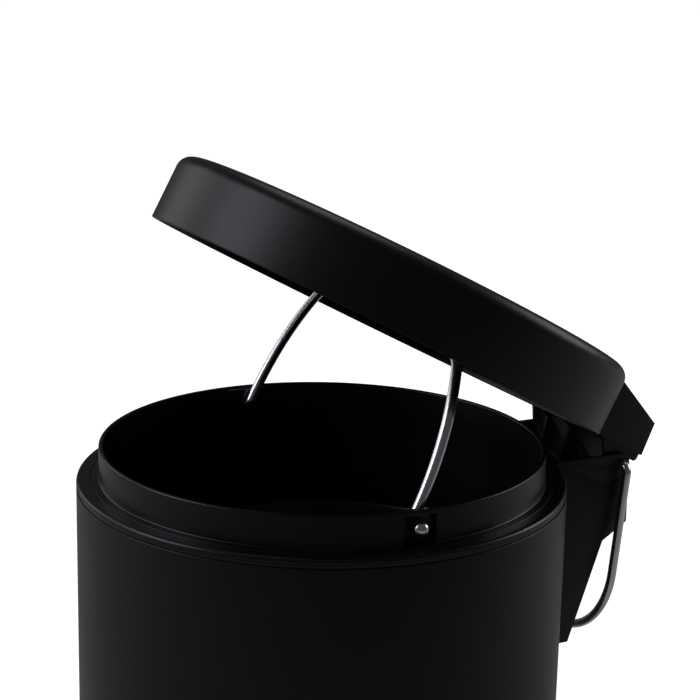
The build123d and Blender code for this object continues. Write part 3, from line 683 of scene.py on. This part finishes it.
def makeBase(settings):
    outer = shellRadius + settings["lip"]
    gap = casingSettings["seatGap"]
    skirt = shellRadius - shellSettings["wall"] - gap
    inside = skirt - settings["wall"]
    inner = inside - settings["flangeWidth"]
    bottom = settings["bottom"]
    top = settings["lipTop"]
    foot = settings["footRound"]
    lip = settings["lipRound"]
    outline = [
        (inner, bottom),
        *arcPoints((outer - foot, bottom + foot), foot, -90, 0, 4),
        *arcPoints((outer - lip, top - lip), lip, 0, 90, 5),
        (shellRadius + gap, top),
        (shellRadius + gap, shellSettings["bottom"]),
        (skirt, shellSettings["bottom"]),
        (skirt, settings["wallTop"]),
        (inside, settings["wallTop"]),
        (inside, bottom + settings["flangeThickness"]),
        (inner, bottom + settings["flangeThickness"]),
    ]
    base = spinOutline("baseRim", outline, 256)
    cutAway(base, settings["slot"]["low"], settings["slot"]["high"])
    cutAway(base, settings["notch"]["low"], settings["notch"]["high"])
    return finishPiece(base, "base_ring")


makeShell(shellSettings)
makeShoulderRing(ringSettings)
makeBucket(bucketSettings)
makeBase(baseSettings)
print("round casings made")


# lid

hingeSettings = {"back": 108.0, "height": 217.3, "open": 28.4}

lidSettings = {
    "overhang": 0.5,
    "gap": 0.3,  # under the closed lid
    "wall": 0.9,
    "side": 24.2,
    "crown": 2.0,
    "edge": 5.0,
    "hem": 1.8,
    "hemHeight": 2.4,
    "hemRound": 0.4,
    "hemRise": 0.3,
}


def crownPoints(flat, height, rise, count):
    radius = (flat ** 2 + rise ** 2) / (2 * rise)
    points = []
    for index in range(1, count + 1):
        out = flat * (1 - index / count)
        points.append((out, height + rise - radius + math.sqrt(radius ** 2 - out ** 2)))
    return points


def openUp(piece):
    # turns a piece of the closed lid about the hinge pin, in its mesh
    pin = Vector((0, hingeSettings["back"] * mm, hingeSettings["height"] * mm))
    turn = Matrix.Rotation(-math.radians(hingeSettings["open"]), 4, "X")
    piece.matrix_world = Matrix.Translation(pin) @ turn @ Matrix.Translation(-pin)
    chooseOnly(piece)
    bpy.ops.object.transform_apply(location=True, rotation=True, scale=True)


def makeLid(settings):
    outer = shellRadius + settings["overhang"]
    bottom = ledgeHeight + settings["gap"]
    top = bottom + settings["side"]
    edge = settings["edge"]
    wall = settings["wall"]
    flat = outer - edge
    hem = settings["hem"]
    hemTop = bottom + settings["hemHeight"]
    turn = settings["hemRound"]
    under = crownPoints(flat, top - wall, settings["crown"], 16)
    outline = [
        *arcPoints((outer - turn, bottom + turn), turn, -90, 0, 5),
        *arcPoints((flat, top - edge), edge, 0, 88, 14),
        *crownPoints(flat, top, settings["crown"], 16),
        *under[::-1],
        *arcPoints((flat, top - edge), edge - wall, 90, 0, 8),
        (outer - wall, hemTop + settings["hemRise"]),
        *arcPoints((outer - hem + turn, hemTop - turn), turn, 120, 180, 3),
        *arcPoints((outer - hem + turn, bottom + turn), turn, 180, 260, 4),
    ]
    lid = spinOutline("lidCap", outline, 256)
    openUp(lid)
    return finishPiece(lid, "lid_shell", angle=40)


makeLid(lidSettings)
print("lid made")


# wires

bailSettings = {
    "wire": 1.8,
    "ball": 2.6,
    "ballPlace": 76.3,
    "halfSpan": 69.9,
    "bend": 2.1,
    "sideRadius": 84.4,
    "sideTurn": 32.9,
    "cornerRadius": 13.0,
    "raised": 64.2,
    "turn": -3.8,
    "pivot": 235.3,
}
handleSettings = {
    "wire": 1.6,
    "half": 28.4,
    "length": 68.6,
    "bend": 3.0,
    "inside": 23.5,
    "lean": -5.9,
    "place": (0, 108.6, 226.2),
}


def bendWire(name, wire, plane, start, heading, moves, around=28):
    # a ring of vertices extruded along straight runs and spun round bends, as wire goes through a former
    turned = plane.to_3x3()
    heading = Vector((heading, 0, 0))
    place = Vector((start * mm, 0, 0))
    facing = (turned @ heading).to_track_quat("Z", "Y").to_euler()
    deselectAll()
    bpy.ops.mesh.primitive_circle_add(
        vertices=around, radius=wire * mm, location=plane @ place, rotation=facing,
    )
    piece = bpy.context.object
    piece.name = name
    piece.data.name = name
    bpy.ops.object.transform_apply(location=True, rotation=True, scale=True)
    editAll(piece)
    for size, angle in moves:
        if angle == 0:
            step = heading * size * mm
            bpy.ops.mesh.extrude_region_move(TRANSFORM_OT_translate={"value": turned @ step})
            place = place + step
            continue
        side = Vector((-heading.y, heading.x, 0)) * math.copysign(size * mm, angle)
        centre = place + side
        bpy.ops.mesh.spin(
            steps=max(6, round(abs(angle) / 2.5)),  # a step for every two and a half degrees
            angle=-math.radians(angle),
            center=plane @ centre,
            axis=turned @ Vector((0, 0, 1)),
        )
        turn = Matrix.Rotation(math.radians(angle), 3, "Z")
        place = centre + turn @ (place - centre)
        heading = turn @ heading
    bpy.ops.mesh.select_all(action="SELECT")
    bpy.ops.mesh.remove_doubles(threshold=1e-6)
    bpy.ops.mesh.select_all(action="SELECT")
    bpy.ops.mesh.fill_holes(sides=0)
    bpy.ops.mesh.select_all(action="SELECT")
    bpy.ops.mesh.normals_make_consistent(inside=False)
    bpy.ops.object.mode_set(mode="OBJECT")
    return piece


def addBall(piece, place, radius):
    deselectAll()
    bpy.ops.mesh.primitive_uv_sphere_add(segments=40, ring_count=20, radius=radius * mm, location=place)
    ball = bpy.context.object
    bpy.ops.object.transform_apply(location=True, rotation=True, scale=True)
    applyModifier(piece, "BOOLEAN", object=ball, operation="UNION", solver="EXACT")
    bpy.data.objects.remove(ball)


def makeBail(settings):
    side = math.radians(settings["sideTurn"])
    inward = settings["sideRadius"] - settings["cornerRadius"]
    top = 2 * (settings["halfSpan"] - settings["sideRadius"] + inward * math.cos(side))
    stub = settings["ballPlace"] - settings["halfSpan"] - settings["bend"]
    corner = (settings["cornerRadius"], 90 - settings["sideTurn"])
    arm = (settings["sideRadius"], settings["sideTurn"])
    bend = (settings["bend"], -90)
    plane = Matrix.Translation((0, 0, settings["pivot"] * mm))
    plane = plane @ Matrix.Rotation(math.radians(settings["turn"]), 4, "Z")
    plane = plane @ Matrix.Rotation(math.radians(settings["raised"]), 4, "X")
    moves = [(stub, 0), bend, arm, corner, (top, 0), corner, arm, bend, (stub, 0)]
    bail = bendWire("bailWire", settings["wire"], plane, settings["ballPlace"], -1, moves)
    for side in (1, -1):
        addBall(bail, plane @ Vector((side * settings["ballPlace"] * mm, 0, 0)), settings["ball"])
    return finishPiece(bail, "bucket_bail", angle=40)


def makeHandle(settings):
    straight = settings["length"] - settings["half"] - settings["bend"]
    hook = settings["half"] - settings["bend"] - settings["inside"]
    bend = (settings["bend"], -90)
    plane = Matrix.Translation(Vector(settings["place"]) * mm)
    plane = plane @ Matrix.Rotation(math.radians(settings["lean"] + 90), 4, "X")
    moves = [(hook, 0), bend, (straight, 0), (settings["half"], -180), (straight, 0), bend, (hook, 0)]
    handle = bendWire("carryWire", settings["wire"], plane, settings["inside"], 1, moves)
    return finishPiece(handle, "carry_handle", angle=40)


makeBail(bailSettings)
makeHandle(handleSettings)
print("wires bent")


# pressed, moulded and small parts keep their CAD shape with their edges broken

softParts = {
    "rearBracketPlate": {"node": "rear_bracket", "width": 0.35, "segments": 3},
    "lidBracketCover": {"node": "lid_bracket", "width": 0.35, "segments": 3},
    "lidYokePlate": {"node": "lid_yoke", "width": 0.25, "segments": 2},
    "pedalLeverChannel": {"node": "pedal_lever", "width": 0.3, "segments": 2},
    "pedalGripPad": {"node": "pedal_pad", "width": 0.35, "segments": 2},
    "pedalEarBracket": {"node": "pedal_bracket", "width": 0.25, "segments": 2},
}
for label, part in softParts.items():
    softCopy(label, part["node"], part["width"], part["segments"])
print("small parts made")
